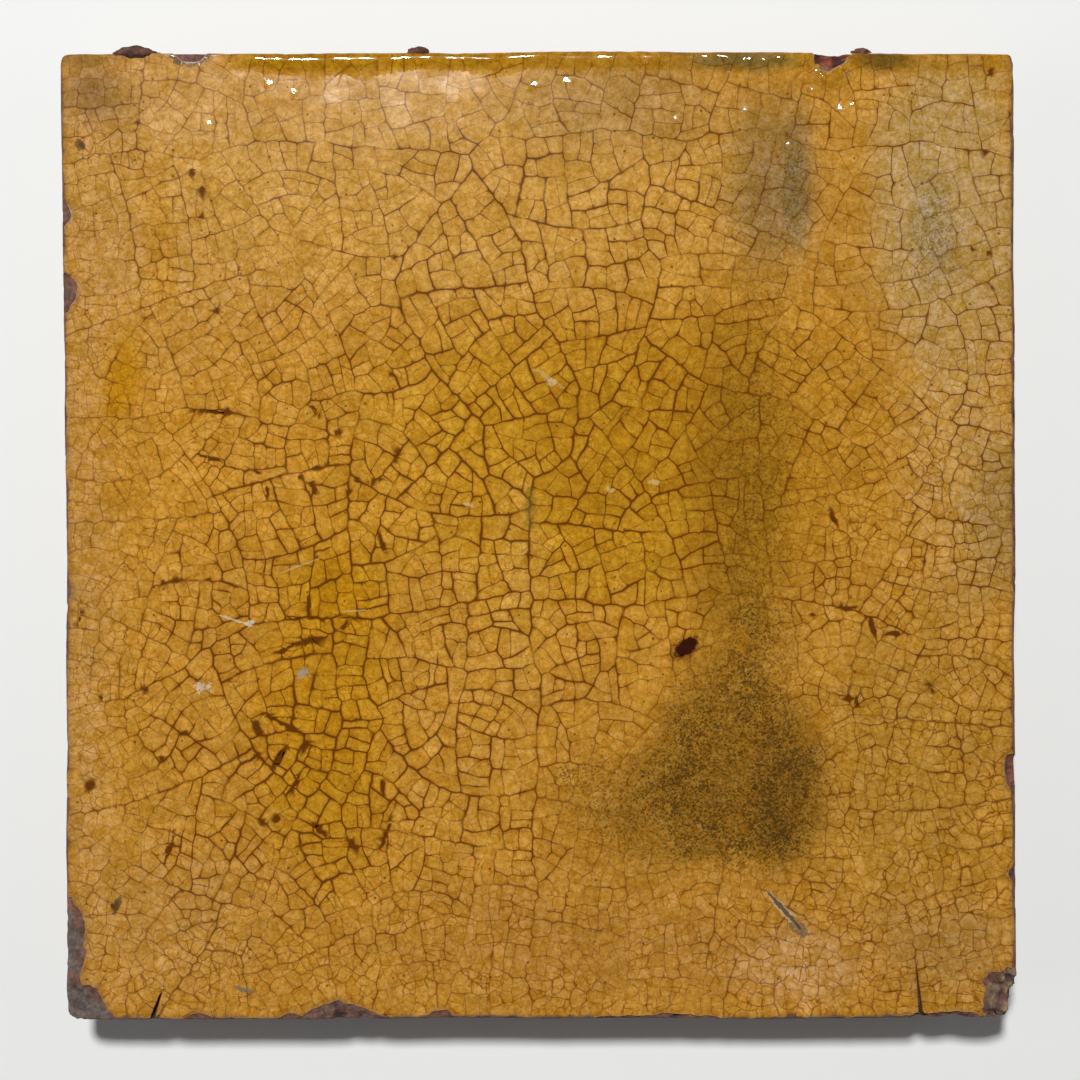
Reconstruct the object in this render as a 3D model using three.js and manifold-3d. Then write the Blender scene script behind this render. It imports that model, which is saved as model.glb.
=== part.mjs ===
// Glazed terracotta floor tile: one hand-cut, nearly square slab of fired clay with a glazed face.
// Millimetres, +Z up. The tile lies on its plain underside with the glazed face up.
// The origin is the middle of the underside. +Y is the edge where the glaze gathered into a bead,
// and -Y is the worn edge with most of the chips.
import * as THREE from "three";
import { mergeVertices } from "three/addons/utils/BufferGeometryUtils.js";
import Module from "manifold-3d";

// Driving dimensions of the slab
const THICKNESS = 22;
const ARRIS = 1.1; // rounding of the face's and the underside's edges
const UNDERCUT = 1.5; // how far the sides lean in towards the underside, for a tight joint
const CORNER_REACH = 2.2; // how far the rounding of a corner runs along each side
const WOBBLE = 0.16; // unevenness of the knife-cut sides
const POINTS_PER_SIDE = 9;
const STEPS_PER_POINT = 4;
const ARRIS_STEPS = 3;

// The four corners of the face, anticlockwise, with the outward bow of the side that starts there
const CORNERS = [
  { name: "worn left", at: [-98.6, -101.8], bow: 0.1 },
  { name: "worn right", at: [100.0, -101.4], bow: -0.1 },
  { name: "bead right", at: [99.5, 99.9], bow: 0.4 },
  { name: "bead left", at: [-100.0, 99.8], bow: -0.5 },
];

// The glaze bead that gathered along the +Y edge
const BEAD = { from: -68, to: 96, radius: 1.4, rise: 0.5, inset: 1.5, sides: 12, steps: 48 };

// Burnt clay burrs on the +Y side: half sizes along, outwards and up
const BURRS = [
  { name: "large burr", at: [-83.8, 99.9], half: [5.1, 1.8, 2.0], sunk: 1.3 },
  { name: "middle burr", at: [-25.1, 100.2], half: [2.4, 1.2, 1.1], sunk: 0.8 },
  { name: "small burr", at: [67.4, 100.2], half: [2.2, 0.9, 0.9], sunk: 0.8 },
];

// Chips and spalls broken from the edges: half sizes along X, along Y and downwards from the face
const CHIPS = [
  { name: "left spall", at: [-98.8, -85.5], half: [4.2, 9.2, 1.3] },
  { name: "left corner spall", at: [-98.6, -101.6], half: [9.2, 7.6, 1.7] },
  { name: "left upper nick", at: [-99.8, 66.3], half: [2.3, 2.6, 1.2] },
  { name: "left middle nick", at: [-99.0, 49.9], half: [2.6, 3.6, 1.0] },
  { name: "left lower nick", at: [-98.8, -12.0], half: [1.6, 2.2, 1.0] },
  { name: "bead edge chip", at: [61.4, 100.3], half: [4.6, 3.8, 1.7] },
  { name: "bead edge scuff", at: [-72.6, 100.0], half: [3.0, 1.9, 0.9] },
  { name: "right chip", at: [100.4, -49.9], half: [3.3, 4.6, 1.7] },
  { name: "right nick", at: [100.2, -71.0], half: [1.9, 1.6, 1.2] },
  { name: "worn edge nick", at: [-70.5, -101.6], half: [2.6, 1.3, 0.9] },
  { name: "worn edge nick by the long chip", at: [-51.6, -101.6], half: [2.4, 1.4, 0.9] },
  { name: "worn edge long chip", at: [-41.1, -101.8], half: [7.6, 3.6, 1.5] },
  { name: "worn edge middle chip", at: [-20.3, -101.7], half: [2.6, 2.0, 1.1] },
  { name: "worn edge scorched chip", at: [26.2, -102.0], half: [14.0, 1.5, 1.3] },
  { name: "worn edge right chip", at: [84.7, -101.8], half: [7.4, 2.1, 1.6] },
  { name: "broken corner", at: [101.4, -100.2], half: [3.6, 7.6, 9.0] },
  { name: "broken corner spall", at: [98.2, -97.6], half: [5.6, 6.6, 2.2] },
];

// Marks in the face: half sizes along, across and downwards, turned anticlockwise in degrees
const MARKS = [
  { name: "gouge", at: [51.2, -79.0], half: [6.9, 0.8, 0.5], turn: -48 },
  { name: "iron spot pit", at: [30.6, -24.1], half: [3.2, 1.7, 0.4], turn: 40 },
];

// Open cracks that run in from the -Y edge, from the tip to the mouth
const SLITS = [
  { name: "firing crack", tip: [78.7, -89.9], mouth: [79.8, -103], width: 1.0, depth: 3.0 },
  { name: "edge split", tip: [-78.2, -94.9], mouth: [-80.4, -103], width: 1.0, depth: 1.5 },
];

const CUTTER_LIFT = 0.2; // chip and mark cutters sit this far above the face
const CUTTER_DETAIL = 2;
const ROUGHNESS = 0.09; // unevenness of the broken surfaces, as a share of the cutter's size

const glazedTerracotta = new THREE.MeshStandardMaterial({
  name: "glazed terracotta",
  color: 0xb98530,
  roughness: 0.3,
  metalness: 0,
});

const wasm = await Module();
wasm.setup();

// A closed geometry as a solid that can be joined and cut
function solidOf(geometry) {
  const bare = geometry.clone();
  bare.deleteAttribute("normal");
  bare.deleteAttribute("uv");
  const merged = mergeVertices(bare, 1e-4);
  return new wasm.Manifold(
    new wasm.Mesh({
      numProp: 3,
      vertProperties: merged.attributes.position.array,
      triVerts: new Uint32Array(merged.index.array),
    }),
  );
}

// A finished solid as a geometry with flat-shaded faces
function geometryOf(solid) {
  const mesh = solid.getMesh();
  const geometry = new THREE.BufferGeometry();
  geometry.setAttribute("position", new THREE.BufferAttribute(mesh.vertProperties, 3));
  geometry.setIndex(new THREE.BufferAttribute(mesh.triVerts, 1));
  geometry.computeVertexNormals();
  return geometry;
}

// Unevenness of a knife-cut side: two slow waves that fade out at its ends
function handCut(share, sideNumber) {
  const slow = Math.sin(2 * Math.PI * (1.6 * share + 0.31 * sideNumber));
  const quick = Math.sin(2 * Math.PI * (4.3 * share + 0.17 * sideNumber));
  return WOBBLE * (slow + 0.6 * quick) * Math.sin(Math.PI * share);
}

// The face's outline: four bowed, uneven sides joined by rounded corners
function faceOutline() {
  const corners = CORNERS.map((corner) => new THREE.Vector2(...corner.at));
  const outline = new THREE.Shape();
  corners.forEach((corner, i) => {
    const next = corners[(i + 1) % corners.length];
    const along = next.clone().sub(corner).normalize();
    const outwards = new THREE.Vector2(along.y, -along.x);
    const start = corner.clone().addScaledVector(along, CORNER_REACH);
    const end = next.clone().addScaledVector(along, -CORNER_REACH);
    if (i === 0) outline.moveTo(start.x, start.y);
    else outline.quadraticCurveTo(corner.x, corner.y, start.x, start.y);
    const side = [];
    for (let k = 1; k <= POINTS_PER_SIDE; k++) {
      const share = k / POINTS_PER_SIDE;
      const bow = CORNERS[i].bow * 4 * share * (1 - share);
      side.push(start.clone().lerp(end, share).addScaledVector(outwards, bow + handCut(share, i)));
    }
    outline.splineThru(side);
  });
  const first = outline.getPoint(0);
  outline.quadraticCurveTo(corners[0].x, corners[0].y, first.x, first.y);
  return outline;
}

// The slab: the outline carried through the thickness, its edges rounded and its sides undercut
function slab() {
  const geometry = new THREE.ExtrudeGeometry(faceOutline(), {
    depth: THICKNESS - 2 * ARRIS,
    curveSegments: STEPS_PER_POINT,
    steps: 1,
    bevelEnabled: true,
    bevelSize: ARRIS,
    bevelThickness: ARRIS,
    bevelOffset: -ARRIS,
    bevelSegments: ARRIS_STEPS,
  });
  geometry.translate(0, 0, ARRIS);
  const halfWidth = CORNERS[1].at[0];
  const place = geometry.attributes.position;
  for (let i = 0; i < place.count; i++) {
    const below = 1 - place.getZ(i) / THICKNESS;
    const shrink = 1 - (UNDERCUT / halfWidth) * below;
    place.setXY(i, place.getX(i) * shrink, place.getY(i) * shrink);
  }
  return geometry;
}

// The bead: a round rod of glaze along the +Y edge, sunk until only its crown stands proud
function bead() {
  const left = new THREE.Vector2(...CORNERS[3].at);
  const right = new THREE.Vector2(...CORNERS[2].at);
  const level = THICKNESS + BEAD.rise - BEAD.radius;
  const line = [];
  for (let k = 0; k <= POINTS_PER_SIDE; k++) {
    const x = THREE.MathUtils.lerp(BEAD.from, BEAD.to, k / POINTS_PER_SIDE);
    const share = (right.x - x) / (right.x - left.x);
    const bow = CORNERS[2].bow * 4 * share * (1 - share) + handCut(share, 2);
    const y = THREE.MathUtils.lerp(right.y, left.y, share) + bow - BEAD.inset;
    line.push(new THREE.Vector3(x, y, level));
  }
  const section = new THREE.Shape().absarc(0, 0, BEAD.radius, 0, 2 * Math.PI);
  return new THREE.ExtrudeGeometry(section, {
    curveSegments: BEAD.sides / 2,
    steps: BEAD.steps,
    extrudePath: new THREE.CatmullRomCurve3(line),
  });
}

// A lumpy ball of unit size: each point moves in or out by a wave of its own place
function lumpyBall(seed) {
  const ball = new THREE.IcosahedronGeometry(1, CUTTER_DETAIL);
  const point = new THREE.Vector3();
  const place = ball.attributes.position;
  for (let i = 0; i < place.count; i++) {
    point.fromBufferAttribute(place, i);
    const wave = Math.sin(5.1 * point.x + seed) + Math.sin(6.3 * point.y + 2.3 * seed) + Math.sin(4.7 * point.z);
    point.multiplyScalar(1 + (ROUGHNESS * wave) / 2);
    place.setXYZ(i, point.x, point.y, point.z);
  }
  return ball;
}

// A lumpy ball stretched to the given half sizes, turned about the vertical and set in place
function lump({ at, half, turn = 0 }, height, seed) {
  return lumpyBall(seed)
    .scale(...half)
    .rotateZ(THREE.MathUtils.degToRad(turn))
    .translate(at[0], at[1], height);
}

// A thin wedge from a crack's tip to its mouth, reaching down from above the face
function slit({ tip, mouth, width, depth }) {
  const end = new THREE.Vector2(...mouth);
  const run = end.clone().sub(new THREE.Vector2(...tip)).normalize();
  const across = new THREE.Vector2(-run.y, run.x).multiplyScalar(width / 2);
  const wedge = new THREE.Shape([
    new THREE.Vector2(...tip),
    end.clone().sub(across),
    end.clone().add(across),
  ]);
  const geometry = new THREE.ExtrudeGeometry(wedge, { depth: depth + 1, bevelEnabled: false });
  return geometry.translate(0, 0, THICKNESS - depth);
}

let tileSolid = solidOf(slab()).add(solidOf(bead()));
BURRS.forEach((burr, i) => {
  tileSolid = tileSolid.add(solidOf(lump(burr, THICKNESS - burr.sunk, i)));
});
[...CHIPS, ...MARKS].forEach((loss, i) => {
  tileSolid = tileSolid.subtract(solidOf(lump(loss, THICKNESS + CUTTER_LIFT, i)));
});
SLITS.forEach((crack) => {
  tileSolid = tileSolid.subtract(solidOf(slit(crack)));
});

const tile = new THREE.Mesh(geometryOf(tileSolid), glazedTerracotta);
tile.name = "tile";

const part = new THREE.Group();
part.name = "glazed terracotta floor tile";
part.add(tile);

export default part;
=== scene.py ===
import math
from functools import partial

import bpy
import numpy as np
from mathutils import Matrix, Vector


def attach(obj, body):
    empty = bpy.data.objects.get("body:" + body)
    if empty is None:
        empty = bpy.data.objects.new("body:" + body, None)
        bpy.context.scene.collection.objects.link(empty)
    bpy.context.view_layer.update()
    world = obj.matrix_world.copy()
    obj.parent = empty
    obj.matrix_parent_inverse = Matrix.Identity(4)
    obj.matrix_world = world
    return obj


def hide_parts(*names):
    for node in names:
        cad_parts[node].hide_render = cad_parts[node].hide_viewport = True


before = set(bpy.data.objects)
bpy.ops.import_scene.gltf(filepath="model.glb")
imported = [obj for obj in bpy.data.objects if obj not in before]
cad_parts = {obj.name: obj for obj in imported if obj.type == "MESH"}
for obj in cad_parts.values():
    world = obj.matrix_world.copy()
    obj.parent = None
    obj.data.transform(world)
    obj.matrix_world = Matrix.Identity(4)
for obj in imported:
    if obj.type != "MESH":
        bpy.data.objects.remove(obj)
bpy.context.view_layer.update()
mm = 0.001
rng = np.random.default_rng(1187)

# The clay slab, in millimetres, with the same outline as the solid: the corners go anticlockwise from
# the worn left one, each bow is the outward bow of the side that starts there, and each wave of the
# knife-cut sides has its turns along a side, its shift from side to side and its share of the wobble.
# The insets are the rows of its underside and top, as hundredths of the way to the middle
slab = {
    "corners": ((-98.6, -101.8), (100.0, -101.4), (99.5, 99.9), (-100.0, 99.8)),
    "bows": (0.1, -0.1, 0.4, -0.5),
    "cornerReach": 2.2,
    "wobble": 0.16,
    "waves": ((1.6, 0.31, 1.0), (4.3, 0.17, 0.6)),
    "sidePoints": 500,
    "cornerPoints": 14,
    "thickness": 22.0,
    "undercut": 1.5,
    "faceArris": 0.6,
    "bedArris": 1.1,
    "pointSpacing": 0.72,
    "sideRows": 25,
    "bedInsets": (84, 68, 52, 38, 26, 16, 9, 5, 2.5),
    "topInsets": (0.9, 1.3, 1.8, 2.4, 3.1, 3.9, 4.8, 5.8, 7, 8.5, 10.5, 14, 25, 50),
}
sideFacings = np.array(((0, -1), (1, 0), (0, 1), (-1, 0)))  # outward, in the order of the slab's sides

# Places read off the photograph are pixels of its 1080 x 1080 frame, x to the right and y down
photo = {"mmPerPixel": 200 / 960, "faceMiddle": (538.3, 532.4)}

# Chips and spalls: middle and half sizes in millimetres, along X, along Y and down from the face, how
# far old dirt has greyed the break (0 is fresh red clay), and how deep the crumbs of the break are
chips = {
    "left spall": ((-98.8, -85.5), (4.2, 9.2, 1.3), 0.9, 0.35),
    "left corner spall": ((-98.6, -101.6), (9.2, 7.6, 1.7), 1.0, 0.4),
    "left upper nick": ((-99.8, 66.3), (2.3, 2.6, 1.2), 0.55, 0.25),
    "left middle nick": ((-99.0, 49.9), (2.6, 3.6, 1.0), 0.6, 0.25),
    "left lower nick": ((-98.8, -12.0), (1.6, 2.2, 1.0), 0.6, 0.25),
    "bead edge chip": ((61.4, 100.3), (4.6, 3.8, 1.7), 0.0, 0.3),
    "bead edge scuff": ((-72.6, 100.0), (3.0, 1.9, 0.9), 0.9, 0.25),
    "right chip": ((100.4, -49.9), (3.3, 4.6, 1.7), 0.25, 0.35),
    "right nick": ((100.2, -71.0), (1.9, 1.6, 1.2), 0.4, 0.25),
    "worn edge nick": ((-70.5, -101.6), (2.6, 1.3, 0.9), 0.45, 0.25),
    "worn edge nick by the long chip": ((-51.6, -101.6), (2.4, 1.4, 0.9), 0.5, 0.25),
    "worn edge long chip": ((-41.1, -101.8), (7.6, 3.6, 1.5), 0.5, 0.4),
    "worn edge middle chip": ((-20.3, -101.7), (2.6, 2.0, 1.1), 0.5, 0.25),
    "worn edge scorched chip": ((26.2, -102.0), (14.0, 1.5, 1.3), 0.7, 0.25),
    "worn edge right chip": ((84.7, -101.8), (7.4, 2.1, 1.6), 0.45, 0.25),
    "broken corner": ((101.4, -100.2), (3.6, 7.6, 9.0), 0.45, 1.4),
    "broken corner spall": ((98.2, -97.6), (5.6, 6.6, 2.2), 0.55, 1.4),
    "neck between the left spalls": ((-99.6, -94.2), (4.0, 2.8, 1.0), 1.0, 0.35),
}
chipLift = 0.2  # the middle of a chip's hollow lies this far above the face

# Burnt burrs on the +Y side: middle, half sizes along, outwards and up, and how far they are sunk
burrs = {
    "large burr": ((-83.8, 99.9), (5.1, 1.8, 2.0), 1.3),
    "middle burr": ((-25.1, 100.2), (2.4, 1.2, 1.1), 0.8),
    "small burr": ((67.4, 100.2), (2.2, 0.9, 0.9), 0.8),
}

# Open cracks that run in from the -Y edge: tip, mouth, width and depth
slits = {
    "firing crack": ((78.7, -89.9), (79.8, -103), 1.3, 3.0),
    "edge split": ((-78.2, -94.9), (-80.4, -103), 1.3, 1.5),
}


def fromPhoto(pixels):
    # millimetres on the face = pixels from the face's middle times the scale, with y turned up
    pixels = np.atleast_2d(np.asarray(pixels, float))
    return (pixels - photo["faceMiddle"]) * (photo["mmPerPixel"], -photo["mmPerPixel"])


def hexColour(text):
    # sRGB hex to linear red, green and blue
    value = np.array([int(text[i:i + 2], 16) for i in (1, 3, 5)]) / 255
    return np.where(value <= 0.04045, value / 12.92, ((value + 0.055) / 1.055) ** 2.4)


def rgba(text):
    return (*hexColour(text), 1.0)


def held(values, low=0, high=1):
    return np.clip(values, low, high)


def lengths(vectors):
    return np.linalg.norm(vectors, axis=-1)


def unit(vectors):
    return vectors / (lengths(vectors)[..., None] + 1e-12)


def square(along):
    # unit vectors to the left of the given directions, which point into an anticlockwise ring
    return unit(np.stack((-along[..., 1], along[..., 0]), axis=-1))


def ringInward(ring):
    # inward normals of an anticlockwise ring, square to the line between each point's neighbours
    return square(np.roll(ring, -1, axis=0) - np.roll(ring, 1, axis=0))


def latticeNoise(places, *layers):
    # a sum of smooth noises about zero; each layer is its height, its size in millimetres and a seed:
    # hashed values from -1 to 1 at the corners of a lattice of that size, eased in between
    places = np.asarray(places, float)
    if places.shape[1] == 2:
        places = np.column_stack((places, np.zeros(len(places))))
    total = np.zeros(len(places))
    for height, size, seed in layers:
        scaled = places / size + 1000.0
        low = np.floor(scaled).astype(np.int64)
        share = scaled - low
        share = share * share * (3 - 2 * share)
        layer = np.zeros(len(places))
        for step in np.ndindex(2, 2, 2):
            x, y, z = (low + step).T
            mixed = (x * 73856093) ^ (y * 19349663) ^ (z * 83492791) ^ (seed * 97654321)
            mixed = ((mixed ^ (mixed >> 13)) * 1274126177) & 0x7FFFFFFF
            value = ((mixed ^ (mixed >> 15)) & 0xFFFF) / 32767.5 - 1
            layer += value * np.prod(np.where(step, share, 1 - share), axis=1)
        total += height * layer
    return total


def softSpot(places, at, half, turn=0.0, crisp=1.0):
    # 1 in the middle of a turned ellipse, falling off as a bell to 0 outside it, sooner if it is crisp
    angle = math.radians(turn)
    away = places[:, :2] - at
    along = (away[:, 0] * math.cos(angle) + away[:, 1] * math.sin(angle)) / half[0]
    across = (away[:, 1] * math.cos(angle) - away[:, 0] * math.sin(angle)) / half[1]
    return np.exp(-(along ** 2 + across ** 2) ** crisp)


def photoSpot(places, at, half, turn=0.0, crisp=1.0, ragged=0.0):
    # a soft spot in photo pixels, whose border is moved about by a ragged share of its size
    half = np.array(half) * photo["mmPerPixel"]
    shifted = places[:, :2] + np.multiply.outer(ragged, half)
    return softSpot(shifted, fromPhoto(at)[0], half, turn, crisp)


def samplePath(line, spacing, closed=False):
    # places spaced evenly along a line, or round a closed ring
    line = np.asarray(line, float)
    if closed:
        line = np.vstack((line, line[:1]))
    run = np.concatenate(([0], np.cumsum(lengths(np.diff(line, axis=0)))))
    steps = max(int(round(run[-1] / spacing)), 1)
    at = np.linspace(0, run[-1], steps if closed else steps + 1, endpoint=not closed)
    return np.column_stack([np.interp(at, run, line[:, k]) for k in (0, 1)])


def slabOutline(spacing):
    # four bowed, uneven sides joined by quadratic corner curves
    corners = np.array(slab["corners"])
    along = unit(np.roll(corners, -1, axis=0) - corners)
    reach = slab["cornerReach"]
    share = np.linspace(0, 1, slab["sidePoints"])[:, None]
    ease = np.linspace(0, 1, slab["cornerPoints"])[1:-1, None]
    ring = []
    for side in range(4):
        after = (side + 1) % 4
        start = corners[side] + along[side] * reach
        end = corners[after] - along[side] * reach
        waves = sum(height * np.sin(2 * math.pi * (turns * share + shift * side))
                    for turns, shift, height in slab["waves"])
        cut = slab["wobble"] * waves * np.sin(math.pi * share)
        bow = slab["bows"][side] * 4 * share * (1 - share)
        ring.append(start + (end - start) * share - square(along[side]) * (bow + cut))
        turned = corners[after] + along[after] * reach
        ring.append((1 - ease) ** 2 * end + 2 * ease * (1 - ease) * corners[after] + ease ** 2 * turned)
    return samplePath(np.vstack(ring), spacing, closed=True)


def leaveHollow(places, direction, middle, half):
    # where a place lies inside the hollow's ellipsoid it moves along its direction to the far wall
    away = (places - middle) / half
    run = direction / half
    depth = (away ** 2).sum(1) - 1
    dot = (away * run).sum(1)
    reach = (run ** 2).sum(1)
    root = np.sqrt(np.maximum(dot ** 2 - reach * depth, 0))
    travel = np.where(depth < 0, (root - dot) / reach, 0)
    return places + direction * travel[:, None], depth < 0


def alongSlit(places, tip, mouth):
    # share of the way from the slit's tip to its mouth, and the distance from its line
    run = np.array(mouth) - tip
    share = held(((places[:, :2] - tip) @ run) / (run @ run))
    return share, lengths(places[:, :2] - tip - np.outer(share, run))


# The glaze coat: thickness, inset of its edge from the slab's on the four sides and how that edge is
# rounded, where glaze is whole and where it is broken, the bead that gathered along the +Y edge, the
# rings of the finer plates, and how the plates differ in lean and in colour
coat = {
    "thickness": 0.6,
    "insets": (0.5, 0.7, 0.12, 0.45),
    "outlineSpacing": 0.35,
    "edgeSpacing": 0.7,
    "edgeRound": 0.5,
    "edgeLean": 0.8,
    "brokenRound": 0.12,
    "skirtInset": 0.05,
    "skirtDepth": 1.1,
    "slitDirtAndShade": 0.9,
    "beadEdge": 96.0,
    "beadFrom": -67.0,
    "beadTo": 99.0,
    "beadFades": (8.0, 3.0),
    "beadWidth": 4.2,
    "beadRise": 0.62,
    "beadColour": "#a8760a",
    "wornColour": "#5d3a17",
    "wornWidth": 1.8,
    "fineRings": (0.25, 0.5, 0.75),
    "fineMargin": 1.4,
    "plateLean": 0.004,
    "plateTone": (0.034, 0.048, 0.17),
    "bakeWidth": 207.0,
}

# The cracks, in millimetres: spacing of their points, half width and how much wider the main ones are,
# bow and wander as shares of their length, the shake at the end, and the least plate that a drawn crack
# may cut off. Of the ranked tries to split a plate, the fair ones have to leave each part its fair
# share, and the rest the least share. Plates above a given area get wider cracks
cracking = {
    "spacing": 0.95,
    "dashSpacing": 0.5,
    "wide": 0.19,
    "mainWiden": 2.2,
    "widen": ((250, 1.45), (60, 1.25), (0, 1.0)),
    "oldArea": 60,
    "bow": 0.07,
    "wander": 0.03,
    "wanderLength": 4.0,
    "squareness": 0.55,
    "clearance": 0.33,
    "relaxRounds": 4,
    "shake": 0.06,
    "leastPlate": 1.8,
    "starts": 16,
    "tries": 80,
    "fairTries": 25,
    "fairShare": 0.28,
    "leastShare": 0.1,
    "sizeSpread": (0.75, 1.7),
    "depth": (0.04, 0.4, 0.16),
}

# Crazing by area: middle and half size in photo pixels, then the size of a plate in millimetres, how
# dark and how wide the cracks are, how far the plates are rounded, and how much fine crazing there is
crazeKeys = ("plate", "dark", "wide", "round", "fine")
crazeRest = (3.6, 0.8, 1.0, 0.35, 0.55)
crazeAreas = {
    "top middle": ((600, 180), (190, 130), (4.9, 0.95, 1.05, 0.35, 0.4)),
    "top left": ((230, 190), (150, 130), (4.3, 0.7, 0.9, 0.35, 0.5)),
    "top strip": ((520, 85), (420, 36), (4.5, 0.5, 0.8, 0.35, 0.35)),
    "top left corner": ((95, 110), (45, 60), (3.0, 0.95, 1.05, 0.35, 0.8)),
    "upper right": ((930, 190), (130, 130), (5.2, 0.75, 0.9, 0.35, 0.45)),
    "middle": ((560, 480), (170, 190), (4.3, 1.15, 1.35, 0.35, 0.5)),
    "left band": ((90, 500), (60, 420), (3.3, 0.45, 0.8, 0.5, 0.65)),
    "lower left": ((320, 720), (130, 150), (4.0, 1.15, 1.3, 0.35, 0.55)),
    "bottom band": ((480, 970), (420, 70), (3.4, 0.55, 0.85, 0.6, 0.85)),
    "grime": ((700, 750), (110, 110), (3.8, 0.5, 0.9, 0.5, 0.1)),
    "right": ((920, 560), (110, 150), (3.4, 0.8, 0.95, 0.5, 0.75)),
    "lower right": ((910, 850), (130, 140), (3.5, 0.7, 1.0, 0.8, 1.0)),
}

# Blisters where the glaze boiled: photo pixels, and half sizes and height in millimetres
blisters = [
    (207, 124, 1.0, 0.7, 0.08), (268, 84, 1.2, 0.7, 0.08), (293, 94, 0.8, 0.7, 0.07),
    (537, 85, 1.3, 0.7, 0.08), (571, 82, 1.8, 1.0, 0.1), (680, 119, 1.5, 1.1, 0.1),
    (750, 112, 1.9, 1.6, 0.13), (792, 145, 1.3, 1.2, 0.11), (815, 90, 1.2, 1.0, 0.1),
    (845, 111, 2.4, 1.9, 0.15), (856, 102, 2.2, 1.7, 0.15), (888, 99, 1.2, 1.2, 0.1),
    (906, 77, 1.3, 1.0, 0.1), (957, 129, 1.0, 1.0, 0.08), (782, 60, 1.5, 1.3, 0.12),
]
# Boiled places with a lumpy skin: middle and half sizes in photo pixels, height and size of a lump in mm
boiled = {"lip": ((745, 62), (52, 11), 0.16, 1.1), "large blister": ((851, 107), (12, 8), 0.15, 0.9)}

# The longest cracks, each a line of photo pixels with its half width in millimetres
mainCracks = {
    "spine": ([
        (529, 50), (519, 80), (509, 109), (483, 137), (470, 154), (478, 173), (495, 199), (512, 225),
        (521, 243), (526, 271), (538, 310), (560, 345), (580, 390), (571, 452), (551, 471), (533, 481),
        (528, 530), (530, 582), (533, 602), (531, 633), (535, 664), (543, 680), (540, 706), (538, 760),
        (530, 820), (536, 890), (528, 960), (531, 1024),
    ], 0.13),
    "upper left branch": ([
        (52, 168), (120, 150), (200, 158), (270, 140), (339, 144), (390, 152), (435, 151), (469, 154),
    ], 0.11),
    "upper right branch": ([
        (485, 138), (549, 137), (610, 128), (680, 140), (750, 128), (830, 150), (920, 140), (1022, 160),
    ], 0.09),
    "shoulder": ([
        (474, 165), (444, 206), (425, 228), (401, 256), (397, 290), (403, 310), (418, 339), (430, 366),
        (461, 402), (486, 426), (485, 445), (488, 475), (520, 490), (530, 502),
    ], 0.13),
    "right arc": ([
        (578, 425), (604, 406), (626, 373), (642, 342), (649, 320), (660, 270), (640, 225), (650, 180),
        (640, 135),
    ], 0.12),
    "right saddle": ([
        (644, 340), (671, 356), (699, 378), (735, 395), (785, 397), (811, 418), (844, 437), (864, 450),
        (892, 485), (935, 520), (1022, 530),
    ], 0.11),
    "left saddle": ([
        (430, 370), (421, 382), (390, 390), (354, 392), (306, 404), (293, 428), (227, 413), (188, 408),
        (120, 420), (52, 415),
    ], 0.11),
    "high arc": ([
        (651, 320), (711, 314), (780, 297), (804, 311), (835, 332), (873, 360), (911, 392), (935, 414),
        (1022, 440),
    ], 0.1),
    "cross": ([
        (530, 600), (580, 599), (625, 607), (657, 601), (710, 590), (790, 600), (847, 607), (930, 640),
        (1022, 640),
    ], 0.1),
    "lower left arc": ([
        (530, 590), (470, 600), (410, 612), (370, 618), (340, 617), (275, 618), (215, 640), (180, 668),
        (120, 700), (52, 715),
    ], 0.1),
    "long drop": ([
        (367, 590), (370, 617), (365, 670), (372, 700), (382, 720), (363, 767), (343, 810), (350, 860),
        (370, 905), (380, 960), (372, 1024),
    ], 0.11),
    "left drop": ([
        (330, 617), (333, 653), (340, 693), (343, 723), (337, 750), (317, 790), (290, 827), (262, 900),
        (240, 960), (250, 1024),
    ], 0.11),
    "ladder": ([
        (180, 668), (230, 690), (262, 703), (273, 723), (310, 738), (367, 752), (393, 763), (447, 757),
        (538, 745),
    ], 0.12),
    "ladder top": ([
        (240, 707), (257, 683), (290, 670), (340, 660), (410, 657), (470, 672), (536, 664),
    ], 0.09),
    "ladder foot": ([
        (262, 703), (262, 773), (260, 813), (280, 827), (345, 840), (385, 850), (440, 830), (530, 820),
    ], 0.11),
    "right drop": ([
        (790, 600), (800, 680), (851, 698), (860, 760), (840, 830), (870, 900), (855, 960), (866, 1024),
    ], 0.08),
    "firing crack": ([
        (905, 905), (912, 940), (916, 962),
    ], 0.08),
}

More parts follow.
